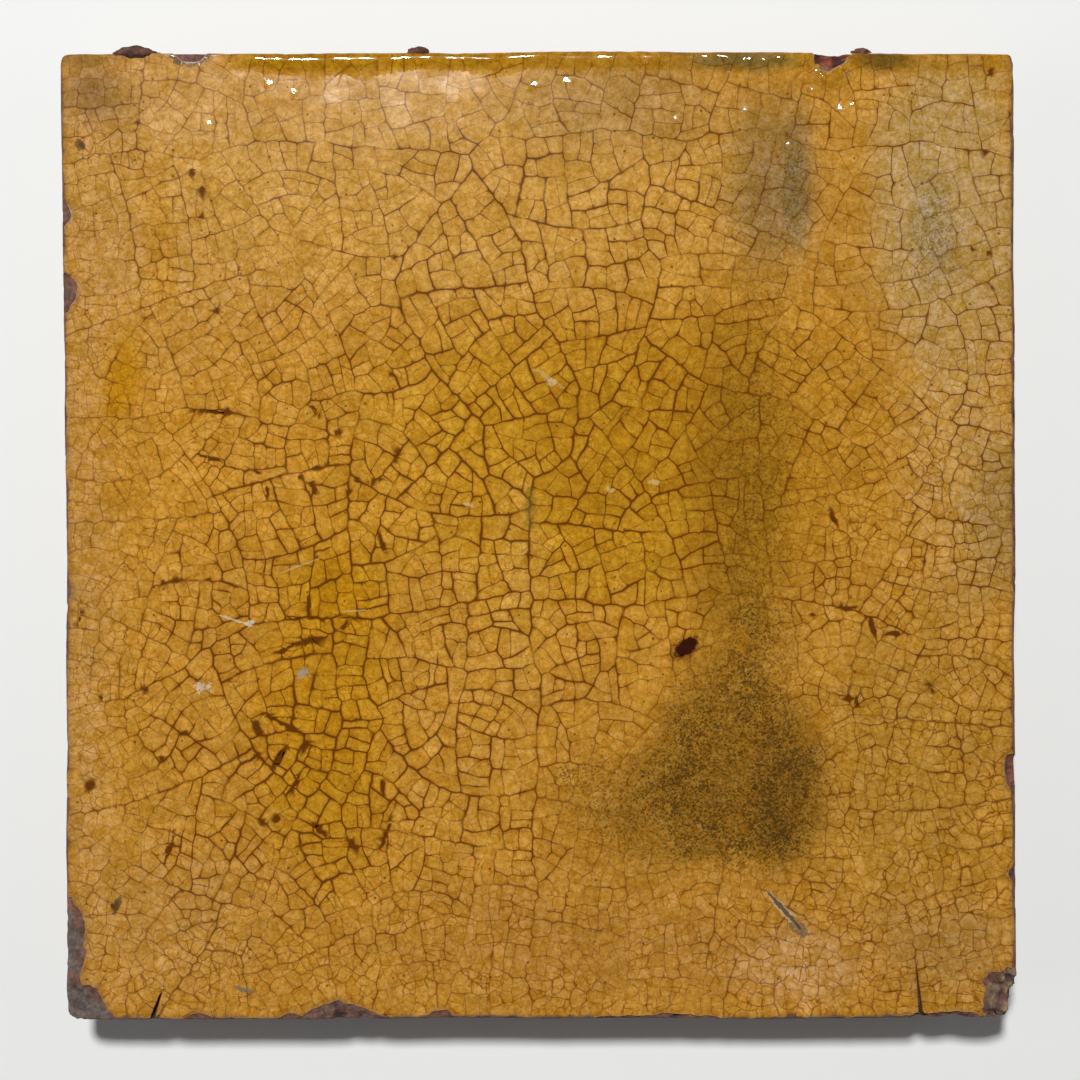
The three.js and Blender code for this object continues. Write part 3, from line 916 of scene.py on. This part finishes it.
def makeGlaze():
    # Lead glaze fired over pale slip on clay: a glossy honey skin, crazed, with dirt in the cracks
    material, add, place = newMaterial("crazed lead glaze")
    crack, halo, grime, slip, fine = (add("Attribute", output="Fac", attribute_name=name)
                                      for name in ("crack", "halo", "grime", "slip", "fineCraze"))
    thin, mottle, grain, gaps, skin = (add("TexNoise", {"Vector": place, **noiseSettings(*noise)})
                                       for noise in glazeLook["noises"].values())
    # pale slip shows through where the glaze is thin, amber where it is thick, a millimetre or two across
    tint = add("Attribute", output="Color", attribute_name="glazeTint")
    amber = add("VectorMath", {0: tint, 1: glazeLook["thick"]}, operation="MULTIPLY")
    pale = add("VectorMath", {0: tint, 1: glazeLook["thin"]}, operation="MULTIPLY")
    thin = add("MapRange", {0: thin, 1: 0.43, 2: 0.57})
    colour = layOver(add, amber, [(thin, pale)])
    for pattern, least, most in ((mottle, 0.92, 1.08), (grain, 0.88, 1.12)):
        factor = add("MapRange", {0: pattern, 1: 0.38, 2: 0.62, 3: least, 4: most})
        colour = add("VectorMath", {0: colour, "Scale": factor}, operation="SCALE")
    # pinholes a few millimetres apart, only in some of the texture's cells
    holes = add("TexVoronoi", {"Vector": place, "Scale": perMetre(glazeLook["pinholeApart"])}, "Color")
    radius = add("MapRange", {0: add("SeparateColor", {0: holes}), 1: 0.35, 2: 1.0, 3: 0.0, 4: 0.19})
    depth = add("Math", {0: radius, 1: holes.node.outputs["Distance"]}, operation="SUBTRACT")
    pinhole = add("MapRange", {0: depth, 1: 0.0, 2: 0.06, 3: 0.0, 4: 0.75})
    # fine crazing too narrow for the mesh: wandering cell borders, wider where there is more, with gaps
    wander = wandering(add, place, glazeLook["fineWander"], glazeLook["fineReach"] * mm)
    wander = add("VectorMath", {0: wander, 1: place}, operation="ADD")
    vein = add("TexVoronoi", {"Vector": wander, "Scale": perMetre(glazeLook["fineCell"])}, "Distance",
               feature="DISTANCE_TO_EDGE", voronoi_dimensions="2D")
    border = add("Math", {0: fine, 1: 0.105}, operation="MULTIPLY")
    vein = add("MapRange", {0: vein, 1: 0.012, 2: border, 3: 1.0, 4: 0.0})
    gaps = add("MapRange", {0: gaps, 1: 0.42, 2: 0.58, 3: 0.25, 4: 1.0})
    for factor in (gaps, fine):
        vein = add("Math", {0: vein, 1: factor}, operation="MULTIPLY")
    # soot grains a third of a millimetre across: more of the texture's cells are dark where it is thicker
    grains = add("TexVoronoi", {"Vector": place, "Scale": perMetre(glazeLook["sootGrain"])}, "Color")
    grains = add("Math", {0: add("SeparateColor", {0: grains}), 1: grime}, operation="ADD")
    soot = add("MapRange", {0: grains, 1: 0.85, 2: 1.55, 3: 0.0, 4: 0.78})
    # stain that has crept from the cracks under the glaze, and the dirt in the cracks themselves, which along
    # the slits is also painted shade
    stain = add("Math", {0: halo, 1: 3.0}, operation="POWER")
    stain = add("Math", {0: stain, 1: 0.4}, operation="MULTIPLY")
    dirt = add("MapRange", {0: crack, 1: 0.06, 2: 0.8, 3: 0.0, 4: 0.94})
    # the pale slip shows on broken edges, and the marks lie over all
    layers = [(pinhole, "#5c3610"), (vein, "#77430a"), (soot, "#2f230c"), (stain, "#8a4a02"),
              (dirt, "#5a2c00"), (slip, "#b89a70")]
    for at, half, turn, tone, share, ragged in glazeMarks.values():
        layers.append((markShare(add, place, at, half, turn, share, ragged), tone))
    colour = layOver(add, colour, layers)
    least, most = glazeLook["roughness"]
    rough = add("MapRange", {0: mottle, 1: 0.38, 2: 0.62, 3: least, 4: most})
    broken = add("Math", {0: slip, 1: glazeLook["brokenRoughness"]}, operation="MULTIPLY")
    rough = add("Math", {0: rough, 1: broken}, operation="ADD")
    finishSurface(add, glazeLook, colour, rough, skin)
    return material


# The clay: its noises, roughness bare and where glaze ran over it, strength and depth of the bump, and IOR
clayLook = {
    "noises": {"mottle": (9, 6.0, 0.65), "sand": (0.9, 3.0, 0.7), "crumbs": (2.4, 4.0, 0.7)},
    "roughness": (0.88, 0.2),
    "bump": (0.5, 0.25),
    "ior": 1.5,
}


def makeClay():
    # Fired terracotta, hand cut and open grained: dull red brown, sandy, redder where freshly broken, greyed
    # by old dirt, burnt dark on the burrs, painted dark as shade in the slits and in the hollows of breaks,
    # and glossy amber where the glaze ran down
    material, add, place = newMaterial("fired terracotta")
    soil, broken, burntAndSlitShade, glazed, pit, loose = (
        add("Attribute", output="Fac", attribute_name=name)
        for name in ("soil", "broken", "burntAndSlitShade", "glazeRun", "pit", "loose"))
    mottle, sand, crumbs = (add("TexNoise", {"Vector": place, **noiseSettings(*noise)})
                            for noise in clayLook["noises"].values())
    clouds, crumbs = (add("MapRange", {0: pattern, 1: 0.4, 2: 0.6}) for pattern in (mottle, crumbs))
    old = layOver(add, "#7c4630", [(clouds, "#a4694c")])
    fresh = layOver(add, "#4a1c0f", [(crumbs, "#88462c")])
    charredAndShadeTone = layOver(add, "#331d15", [(crumbs, "#67402f")])
    soiled = add("MapRange", {0: crumbs, 3: 0.8, 4: 1.0})
    soiled = add("Math", {0: soil, 1: soiled}, operation="MULTIPLY")
    # in a crumbling break the hollows are painted dark as shade, and the crumbs that stand out are beige,
    # partly their own pale clay and partly a painted highlight
    beige = add("MapRange", {0: pit, 1: 0.1, 2: -0.3, 3: 0.0, 4: 0.7})
    beige = add("Math", {0: beige, 1: loose}, operation="MULTIPLY")
    hollow = add("MapRange", {0: pit, 1: 0.15, 2: 0.7, 3: 0.0, 4: 0.8})
    # the charred colour also lies in the slits as painted shade
    colour = layOver(add, old, [(broken, fresh), (soiled, "#655d55"), (beige, "#94805e"), (hollow, "#24140e"),
                                (burntAndSlitShade, charredAndShadeTone)])
    grit = add("MapRange", {0: sand, 1: 0.38, 2: 0.62, 3: 0.68, 4: 1.3})
    colour = add("VectorMath", {0: colour, "Scale": grit}, operation="SCALE")
    edge = add("Math", {0: glazed, 1: mottle}, operation="ADD")
    edge = add("MapRange", {0: edge, 1: 0.95, 2: 1.03})
    colour = layOver(add, colour, [(edge, "#8f5f10")])
    bare, overrun = clayLook["roughness"]
    rough = add("MapRange", {0: edge, 3: bare, 4: overrun})
    finishSurface(add, clayLook, colour, rough, sand)
    return material


def makeMesh(name, places, faces, material, floats, bakeMap, colours=None, normals=None):
    # a mesh object at the origin from arrays in millimetres, with its point attributes and its map for baking
    mesh = bpy.data.meshes.new(name)
    mesh.from_pydata((places * mm).tolist(), [], faces)
    mesh.materials.append(material)
    for key, values in floats.items():
        mesh.attributes.new(key, "FLOAT", "POINT").data.foreach_set("value", values.astype(np.float32))
    for key, values in (colours or {}).items():
        full = np.column_stack((values, np.ones(len(values)))).astype(np.float32)
        mesh.attributes.new(key, "FLOAT_COLOR", "POINT").data.foreach_set("color", full.ravel())
    mesh.uv_layers.new(name="OFBake").data.foreach_set("uv", bakeMap.astype(np.float32).ravel())
    mesh.polygons.foreach_set("use_smooth", np.ones(len(mesh.polygons), bool))
    if normals is not None:
        mesh.normals_split_custom_set_from_vertices(normals.tolist())
    mesh.update()
    piece = bpy.data.objects.new(name, mesh)
    bpy.context.scene.collection.objects.link(piece)
    print(name, "triangles:", sum(len(face) - 2 for face in faces))
    return piece


def drawCracks(net, broken, inward):
    # half width and darkness of the crack at each point, wider in the dashes and spots where flakes were lost
    points = net.places[:net.count]
    edge = points[:net.edgeCount]
    wide = net.wide[:net.count] * crazeField(points, "wide")
    dark = net.dark[:net.count] * crazeField(points, "dark")
    wide *= 1 + latticeNoise(points, (0.4, 2.5, 30), (0.3, 1.1, 31))
    dark *= held(0.95 + latticeNoise(points, (0.45, 5, 32), (0.35, 1.6, 37)), 0.1, 1.15)
    dark *= 1 - 0.75 * grimeShare(points)
    knots = np.where(net.joints[:net.count] > 0, 1.15, 1.0)
    wide *= knots
    dark = held(dark * knots)
    lost = [(fromPhoto((x, y))[0], (half, thick), turn) for x, y, half, thick, turn in losses["dashes"]]
    for x, y, size in losses["spots"]:
        # a spot lies between its own place and the nearest crack
        at = fromPhoto((x, y))[0]
        apart = lengths(points[net.edgeCount:] - at)
        at = 0.6 * points[net.edgeCount + int(apart.argmin())] + 0.4 * at
        lost.append((at, (size, size), 0))
    for at, half, turn in lost:
        near = softSpot(points, at, (half[0], max(half[1], 0.5)), turn, 2.0)
        wide = np.maximum(wide, 0.6 * half[1] * near)
        dark = np.maximum(dark, near)
    # a dark line runs along the edges, darkest on the left and right sides, less along -Y and least on the
    # bead
    rim = 0.1 + 0.9 * np.abs(inward[:, 0]) + 0.45 * np.maximum(inward[:, 1], 0)
    wide[:net.edgeCount] = np.where(broken > 0.5, 0.14, 0.5)
    dark[:net.edgeCount] = held(rim * (0.75 + latticeNoise(edge, (0.7, 3.0, 35))))
    return wide, dark, lost


def plateMiddles(here, after, cellOf):
    # each plate's middle and the direction into the plate at each of its edges; a middle that lies outside
    # some of the edges moves to the place that is on the inner side of as many as it can be
    ahead = here[after]
    cross = here[:, 0] * ahead[:, 1] - ahead[:, 0] * here[:, 1]
    area = np.bincount(cellOf, cross) / 2
    middle = np.column_stack([np.bincount(cellOf, (here + ahead)[:, k] * cross) / (6 * area) for k in (0, 1)])
    left = square(ahead - here)
    hidden = ((middle[cellOf] - here) * left).sum(1) < 0.05
    for plate in np.unique(cellOf[hidden]):
        own = np.nonzero(cellOf == plate)[0]
        tries = middle[plate] + rng.normal(0, 0.4 * math.sqrt(area[plate]), (300, 2))
        clear = ((tries[:, None] - here[own][None]) * left[own][None]).sum(2).min(1)
        middle[plate] = tries[clear.argmax()]
    return middle, left


def buildCoat(material, edge, broken):
    # all plates at once: every corner of every plate has a point in the crack and one at the plate's lip
    net = crackFace(edge)
    points = net.places[:net.count]
    edgeCount = net.edgeCount
    sizes = np.array([len(plate) for plate in net.plates])
    corner = np.concatenate(net.plates)
    corners = np.arange(len(corner))
    cellOf = np.repeat(np.arange(len(sizes)), sizes)
    first = np.cumsum(sizes) - sizes
    after = corners + 1
    after[first + sizes - 1] = first
    before = np.empty_like(after)
    before[after] = corners
    here = points[corner]
    middle, left = plateMiddles(here, after, cellOf)
    inward = ringInward(edge)
    wide, dark, lost = drawCracks(net, broken, inward)
    mitre = left + left[before]
    stretch = lengths(mitre) / np.maximum(1 + (left * left[before]).sum(1), 0.45)
    step = np.minimum(wide[corner] * stretch, 0.42 * lengths(middle[cellOf] - here))
    lip = here + unit(mitre) * step[:, None]

    # plates at the edge, at blisters and where flakes were lost get more rings, for smooth curves and borders
    marked = lost + [(fromPhoto((x, y))[0], (along, across), 0) for x, y, along, across, _ in blisters]
    nearMark = np.max([softSpot(middle, at, np.array(half) + coat["fineMargin"], turn, 2.0)
                       for at, half, turn in marked], axis=0) > 0.37
    fine = ((np.bincount(cellOf, corner < edgeCount) > 0) | nearMark)[cellOf]
    fineCorner = np.nonzero(fine)[0]
    fineCount = len(fineCorner)
    fineLip = lip[fineCorner]
    rings = [fineLip + (middle[cellOf[fineCorner]] - fineLip) * share for share in coat["fineRings"]]
    flat = np.vstack((points, lip, middle, *rings))
    lipStart = net.count
    middleStart = lipStart + len(lip)
    ringStart = middleStart + len(middle)
    skirtStart = len(flat)

    # heights, and normals from the slope of the face, with each plate leaning a little its own way
    height = faceHeight(flat, edge, broken)
    reach = 0.05
    slopes = [height - faceHeight(flat + shift, edge, broken) for shift in ((reach, 0), (0, reach))]
    normals = np.column_stack((*slopes, np.full(len(flat), reach)))
    lean = np.where(broken > 0.5, 0.0, coat["edgeLean"])
    normals[:edgeCount] = np.column_stack((-inward * lean[:, None], np.sqrt(1 - lean ** 2)))
    normals = unit(normals)
    tilt = rng.normal(0, coat["plateLean"], (len(sizes), 2))
    normals[lipStart:middleStart, :2] += tilt[cellOf]
    normals[middleStart:ringStart, :2] += tilt
    base, gain, most = cracking["depth"]
    height[edgeCount:net.count] -= np.minimum(most, base + gain * wide[edgeCount:])
    skirt = np.column_stack((edge + inward * coat["skirtInset"],
                             np.full(edgeCount, slab["thickness"] - coat["skirtDepth"])))
    places = np.vstack((np.column_stack((flat, height)), skirt))
    normals = np.vstack((normals, np.column_stack((-inward, np.zeros(edgeCount)))))

    # faces: crack to lip, lip to middle, on the finer plates by way of their rings, then the skirt and foot
    quads = np.column_stack((corner, corner[after], lipStart + after, lipStart + corners))
    fans = np.column_stack((lipStart + corners, lipStart + after, middleStart + cellOf))[~fine]
    number = np.zeros(len(corner), int)
    number[fineCorner] = np.arange(fineCount)
    chain = [(lipStart + fineCorner, lipStart + after[fineCorner])]
    for start in ringStart + fineCount * np.arange(len(rings)):
        chain.append((start + np.arange(fineCount), start + number[after[fineCorner]]))
    faces = quads.tolist() + fans.tolist()
    for (outer, outerNext), (inner, innerNext) in zip(chain, chain[1:]):
        faces += np.column_stack((outer, outerNext, innerNext, inner)).tolist()
    faces += np.column_stack((*chain[-1], middleStart + cellOf[fineCorner])).tolist()
    ids = np.arange(edgeCount)
    following = np.roll(ids, -1)
    faces += np.column_stack((following, ids, skirtStart + ids, skirtStart + following)).tolist()
    faces.append((skirtStart + ids[::-1]).tolist())

    # dirt in the cracks and flakes, the stain about them, slip or scorched glaze on broken and worn edges,
    # and the darkest crack colour along the slits, for dirt and painted shade
    crack, halo, slip = np.zeros((3, len(places)))
    shaken = flat + np.column_stack([latticeNoise(flat, (0.4, 0.9, seed)) for seed in (33, 36)])
    for at, half, turn in lost:
        crack[:skirtStart] = np.maximum(crack[:skirtStart], softSpot(shaken, at, half, turn, 2.5))
    crack[:net.count] = dark
    halo[:net.count] = dark
    halo[lipStart:middleStart] = 0.85 * dark[corner]
    halo[ringStart:ringStart + fineCount] = 0.5 * dark[corner[fineCorner]]
    worn = held(inward[:, 1] - 0.6) * 1.8 * held(0.45 + latticeNoise(edge, (1, 3.0, 34)))
    scorched = softSpot(edge, (-73, 99), (6, 4), 0, 2.0)  # beside the large burr the edge is burnt dull
    # along the slits' walls the glaze is painted as dark as a crack: dirt and painted shade in the open crack
    bySlit = np.min([alongSlit(edge, *slit[:2])[1] for slit in slits.values()], axis=0) < coat["slitDirtAndShade"]
    halo = np.maximum(halo, crack)
    for rim, share in ((slice(edgeCount), np.maximum(0.6 * broken, worn)), (slice(skirtStart, None), broken)):
        slip[rim] = np.where(bySlit, 0, np.maximum(share, scorched))
        crack[rim] = np.where(bySlit, 1, crack[rim])
    floats = {"crack": crack, "halo": halo, "grime": grimeShare(places), "slip": slip,
              "fineCraze": crazeField(places, "fine")}
    # each plate a little paler or more amber than the next
    tint = glazeTint(places, edge)
    tone = 1 + np.outer(held(rng.normal(0, 1, len(sizes)), -2, 2), coat["plateTone"])
    tint[lipStart:skirtStart] *= tone[np.concatenate((cellOf, np.arange(len(sizes)),
                                                      np.tile(cellOf[fineCorner], len(rings))))]

    # the bake map looks straight down, with the rim's wall unfolded outwards and the hidden foot made tiny
    flatMap = np.vstack((flat, edge - inward * 0.8)) / coat["bakeWidth"] + 0.5
    bakeMap = flatMap[np.concatenate(faces)]
    bakeMap[-edgeCount:] *= 0.01
    return makeMesh("glaze_coat", places, faces, material, floats, bakeMap, {"glazeTint": tint}, normals)


def gridFaces(rows, around):
    # quads between closed rings of points, and the fans that join the first and last ring to two poles
    ids = np.arange(rows * around).reshape(rows, around)
    following = np.roll(ids, -1, axis=1)
    quads = np.stack((ids[:-1], following[:-1], following[1:], ids[1:]), axis=-1).reshape(-1, 4)
    lowFan = np.column_stack((following[0], ids[0], np.full(around, ids.size)))
    highFan = np.column_stack((ids[-1], following[-1], np.full(around, ids.size + 1)))
    return quads, lowFan, highFan


def lumpyBall(number):
    # a ball of latitude and longitude rings, of about unit size, with an uneven skin
    around, rings = 40, 18
    turn = np.linspace(0, 2 * math.pi, around, endpoint=False)
    climb = np.linspace(-math.pi / 2, math.pi / 2, rings + 2)[1:-1]
    ball = np.stack((np.outer(np.cos(climb), np.cos(turn)), np.outer(np.cos(climb), np.sin(turn)),
                     np.outer(np.sin(climb), np.ones(around))), axis=-1).reshape(-1, 3)
    ball = np.vstack((ball, (0, 0, -1), (0, 0, 1)))
    uneven = 0.9 + latticeNoise(ball, (0.3, 0.6, 90 + number), (0.2, 0.25, 95 + number))
    ball = ball * np.minimum(uneven, 1.04)[:, None]
    return ball, [face for faces in gridFaces(rings, around) for face in faces.tolist()]


def buildBody(material):
    # a profile of rows, from the underside's middle over the side to the top's, carried round the outline
    ring = slabOutline(slab["pointSpacing"])
    count = len(ring)
    thick = slab["thickness"]
    top = thick - coat["thickness"]
    bed = slab["bedArris"]
    face = slab["faceArris"]
    bedTurn = np.radians(np.linspace(-90, 0, 6))
    faceTurn = np.radians(np.linspace(0, 90, 5))
    rows = [(inset, 0.0) for inset in slab["bedInsets"]]
    rows += zip(bed * (1 - np.cos(bedTurn)), bed * (1 + np.sin(bedTurn)))
    rows += [(0.0, z) for z in np.linspace(bed, top - face, slab["sideRows"])[1:-1]]
    rows += zip(face * (1 - np.cos(faceTurn)), top - face * (1 - np.sin(faceTurn)))
    rows += [(inset, top) for inset in slab["topInsets"]]
    rows = np.array(rows)
    shrink = 1 - rows[:, 0] / 100 - slab["undercut"] / 100 * (1 - rows[:, 1] / thick)
    places = np.column_stack((np.multiply.outer(shrink, ring).reshape(-1, 2), rows[:, 1].repeat(count)))
    # roughness of the cut clay: slow unevenness, sandy grain and a few open pores, none on the underside
    outward = np.column_stack((np.tile(-ringInward(ring), (len(rows), 1)), np.zeros(len(places))))
    side = held((places[:, 2] - 0.3) / 1.5) * held((top + 0.05 - places[:, 2]) / 0.8)
    rough = latticeNoise(places * (1, 1, 2.2), (0.22, 11, 50), (0.1, 3.4, 51))
    rough += latticeNoise(places, (0.07, 1.3, 52))
    pores = held(latticeNoise(places, (1, 2.6, 53)) - 0.62) * 2.2
    places = places + outward * (side * (rough - 0.2 - pores))[:, None]
    # chips: places inside a hollow move inwards and down to its rough wall
    towards = unit(-places * (1, 1, 0)) - (0, 0, 1)
    towards /= math.sqrt(2)
    broken, greyed, crumbly, split = np.zeros((4, len(places)))
    for number, (at, half, soil, crumb) in enumerate(chips.values()):
        ragged = 1 + latticeNoise(places, (0.2, 2.4, 60 + number), (0.1, 0.9, 80 + number))
        middle = np.array((*at, thick + chipLift))
        places, hit = leaveHollow(places, towards, middle, np.array(half) * ragged[:, None])
        broken = np.maximum(broken, hit)
        greyed = np.maximum(greyed, soil * hit)
        crumbly = np.maximum(crumbly, crumb * hit)
    # the breaks crumble: their places move further in by a noise, and a little out again
    pit = broken * held(latticeNoise(places, (0.8, 1.9, 84), (0.6, 0.95, 85)), -0.4)
    places = places + towards * (crumbly * np.maximum(pit, -0.2))[:, None]
    for tip, mouth, width, depth in slits.values():
        # places near the slit's line sink by its depth, most on the line and at its mouth
        share, apart = alongSlit(places, tip, mouth)
        deep = held(1.3 - apart / width) * held(4 * share + 0.2) * (places[:, 2] > 12)
        places[:, 2] -= 0.8 * depth * deep
        split = np.maximum(split, deep)
    places = np.vstack((places, (0, 0, 0), (0, 0, top)))
    quads, bottomFan, topFan = gridFaces(len(rows), count)
    faces = quads.tolist() + bottomFan.tolist() + topFan.tolist()

    # the bake map: underside and top seen straight on side by side, the four sides as strips above them
    climb = np.concatenate(([0], np.cumsum(lengths(np.diff(rows, axis=0)))))
    sideFrom = len(slab["bedInsets"])
    sideTo = len(rows) - len(slab["topInsets"]) - 1
    climb = held((climb - climb[sideFrom]) / (climb[sideTo] - climb[sideFrom]))
    seen = places[:, :2] / (2 * coat["bakeWidth"])
    sideOf = np.tile((-ringInward(ring) @ sideFacings.T).argmax(1), len(rows) - 1)
    along = np.column_stack((-sideFacings[:, 1], sideFacings[:, 0]))[sideOf]
    strip = np.stack((0.5 + 2 * (seen[quads] * along[:, None]).sum(2),
                      0.52 + 0.11 * sideOf[:, None] + 0.1 * climb[quads // count]), axis=-1)
    band = (np.arange(len(quads)) // count)[:, None, None]
    bedAt, topAt = (0.25, 0.25), (0.75, 0.25)
    sheet = np.where(band < sideFrom, seen[quads] + bedAt, seen[quads] + topAt)
    sheet = np.where((band >= sideFrom) & (band < sideTo), strip, sheet)
    bakeMap = [sheet.reshape(-1, 2), seen[bottomFan.ravel()] + bedAt, seen[topFan.ravel()] + topAt]

    slabCount = len(places)
    for number, (at, half, sunk) in enumerate(burrs.values()):
        ball, lumpFaces = lumpyBall(number)
        faces += [[corner + len(places) for corner in face] for face in lumpFaces]
        places = np.vstack((places, ball * half + (*at, thick - sunk)))
        bakeMap.append(ball[np.concatenate(lumpFaces), :2] * (0.14, 0.018) + (0.17 + 0.33 * number, 0.975))
    extra = np.zeros(len(places) - len(broken))
    broken, greyed, crumbly, pit, split = (np.concatenate((values, extra))
                                           for values in (broken, greyed, crumbly, pit, split))
    # dirt, scorching below the glaze and on the burrs, painted shade in the slits, glaze that ran down +Y,
    # and loose crumbs
    y, z = places[:, 1], places[:, 2]
    soil = held(0.5 + latticeNoise(places, (0.4, 22, 70), (0.25, 6, 71)))
    soil = np.where(broken > 0.5, greyed, soil)
    burntAndSlitShade = held((z - 19.4) / 1.2) * (1 - broken) * held(0.6 + latticeNoise(places, (0.4, 3, 73)))
    # the slits take the charred colour too: painted shade in the narrow open cracks
    burntAndSlitShade = np.maximum(burntAndSlitShade, split)
    burntAndSlitShade[slabCount:] = held(0.85 + latticeNoise(places[slabCount:], (0.3, 1.5, 72)))
    run = held((y - 97) / 1.5) * held((z - 15.5) / 5) * (1 - broken)
    run *= 1 - softSpot(places, chips["bead edge scuff"][0], (6, 5), 0, 3.0)
    run[slabCount:] = 0
    loose = held(2 * crumbly - 0.8) * held((z - 16.5) / 2.5)
    floats = {"soil": soil, "broken": broken, "burntAndSlitShade": burntAndSlitShade, "glazeRun": run, "pit": pit, "loose": loose}
    return makeMesh("clay_body", places, faces, material, floats, np.vstack(bakeMap))


glaze = makeGlaze()
clay = makeClay()
body = buildBody(clay)
coatEdge, coatBroken = coatOutline()
glazeCoat = buildCoat(glaze, coatEdge, coatBroken)
for piece in (body, glazeCoat):
    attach(piece, "root")
    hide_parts("tile")

# The stage: a pale floor, a softbox beyond the bead edge, weaker ones at the sides, and the camera above
studio = {
    "floorColour": "#e9eae8",
    "floorReach": 4.0,
    "floorRoughness": 0.9,
    "lens": 70.0,
    "sensor": 36.0,
    "viewPixel": (540, 540),
    "viewWidthMm": 225.0,
    "worldStrength": 0.045,
    "lights": [
        {"name": "key", "at": (-0.16, 0.6, 1.47), "size": 0.16, "watts": 24.6},
        {"name": "left softbox", "at": (-1.1, -0.1, 0.95), "size": 0.9, "watts": 1.9},
        {"name": "right softbox", "at": (1.1, 0.1, 0.95), "size": 0.9, "watts": 1.15},
        {"name": "near fill", "at": (0.2, -1.1, 1.1), "size": 1.0, "watts": 0.25},
    ],
}


def buildStage():
    material = bpy.data.materials.new("pale studio floor")
    material.use_nodes = True
    shader = material.node_tree.nodes["Principled BSDF"]
    shader.inputs["Base Color"].default_value = rgba(studio["floorColour"])
    shader.inputs["Roughness"].default_value = studio["floorRoughness"]
    far = studio["floorReach"]
    mesh = bpy.data.meshes.new("floor")
    mesh.from_pydata([(-far, -far, 0), (far, -far, 0), (far, far, 0), (-far, far, 0)], [], [(0, 1, 2, 3)])
    mesh.materials.append(material)
    floor = bpy.data.objects.new("floor", mesh)
    bpy.context.scene.collection.objects.link(floor)
    world = bpy.data.worlds.new("soft room light")
    world.use_nodes = True
    background = world.node_tree.nodes["Background"]
    background.inputs["Color"].default_value = (1, 1, 1, 1)
    background.inputs["Strength"].default_value = studio["worldStrength"]
    bpy.context.scene.world = world
    for light in studio["lights"]:
        lamp = bpy.data.lights.new(light["name"], "AREA")
        lamp.size = light["size"]
        lamp.energy = light["watts"]
        holder = bpy.data.objects.new(light["name"], lamp)
        holder.location = light["at"]
        holder.rotation_euler = Vector(light["at"]).to_track_quat("Z", "Y").to_euler()
        bpy.context.scene.collection.objects.link(holder)
    bpy.context.scene.view_settings.view_transform = "Standard"
    print("stage done, lights:", len(studio["lights"]))


def buildCamera():
    # straight down on the face, far enough off for the photograph's width at the face
    x, y = fromPhoto(studio["viewPixel"])[0] * mm
    distance = studio["viewWidthMm"] * mm * studio["lens"] / studio["sensor"]
    data = bpy.data.cameras.new("camera")
    data.lens = studio["lens"]
    data.sensor_width = studio["sensor"]
    camera = bpy.data.objects.new("camera", data)
    camera.location = (x, y, slab["thickness"] * mm + distance)
    bpy.context.scene.collection.objects.link(camera)
    bpy.context.scene.camera = camera


buildStage()
buildCamera()
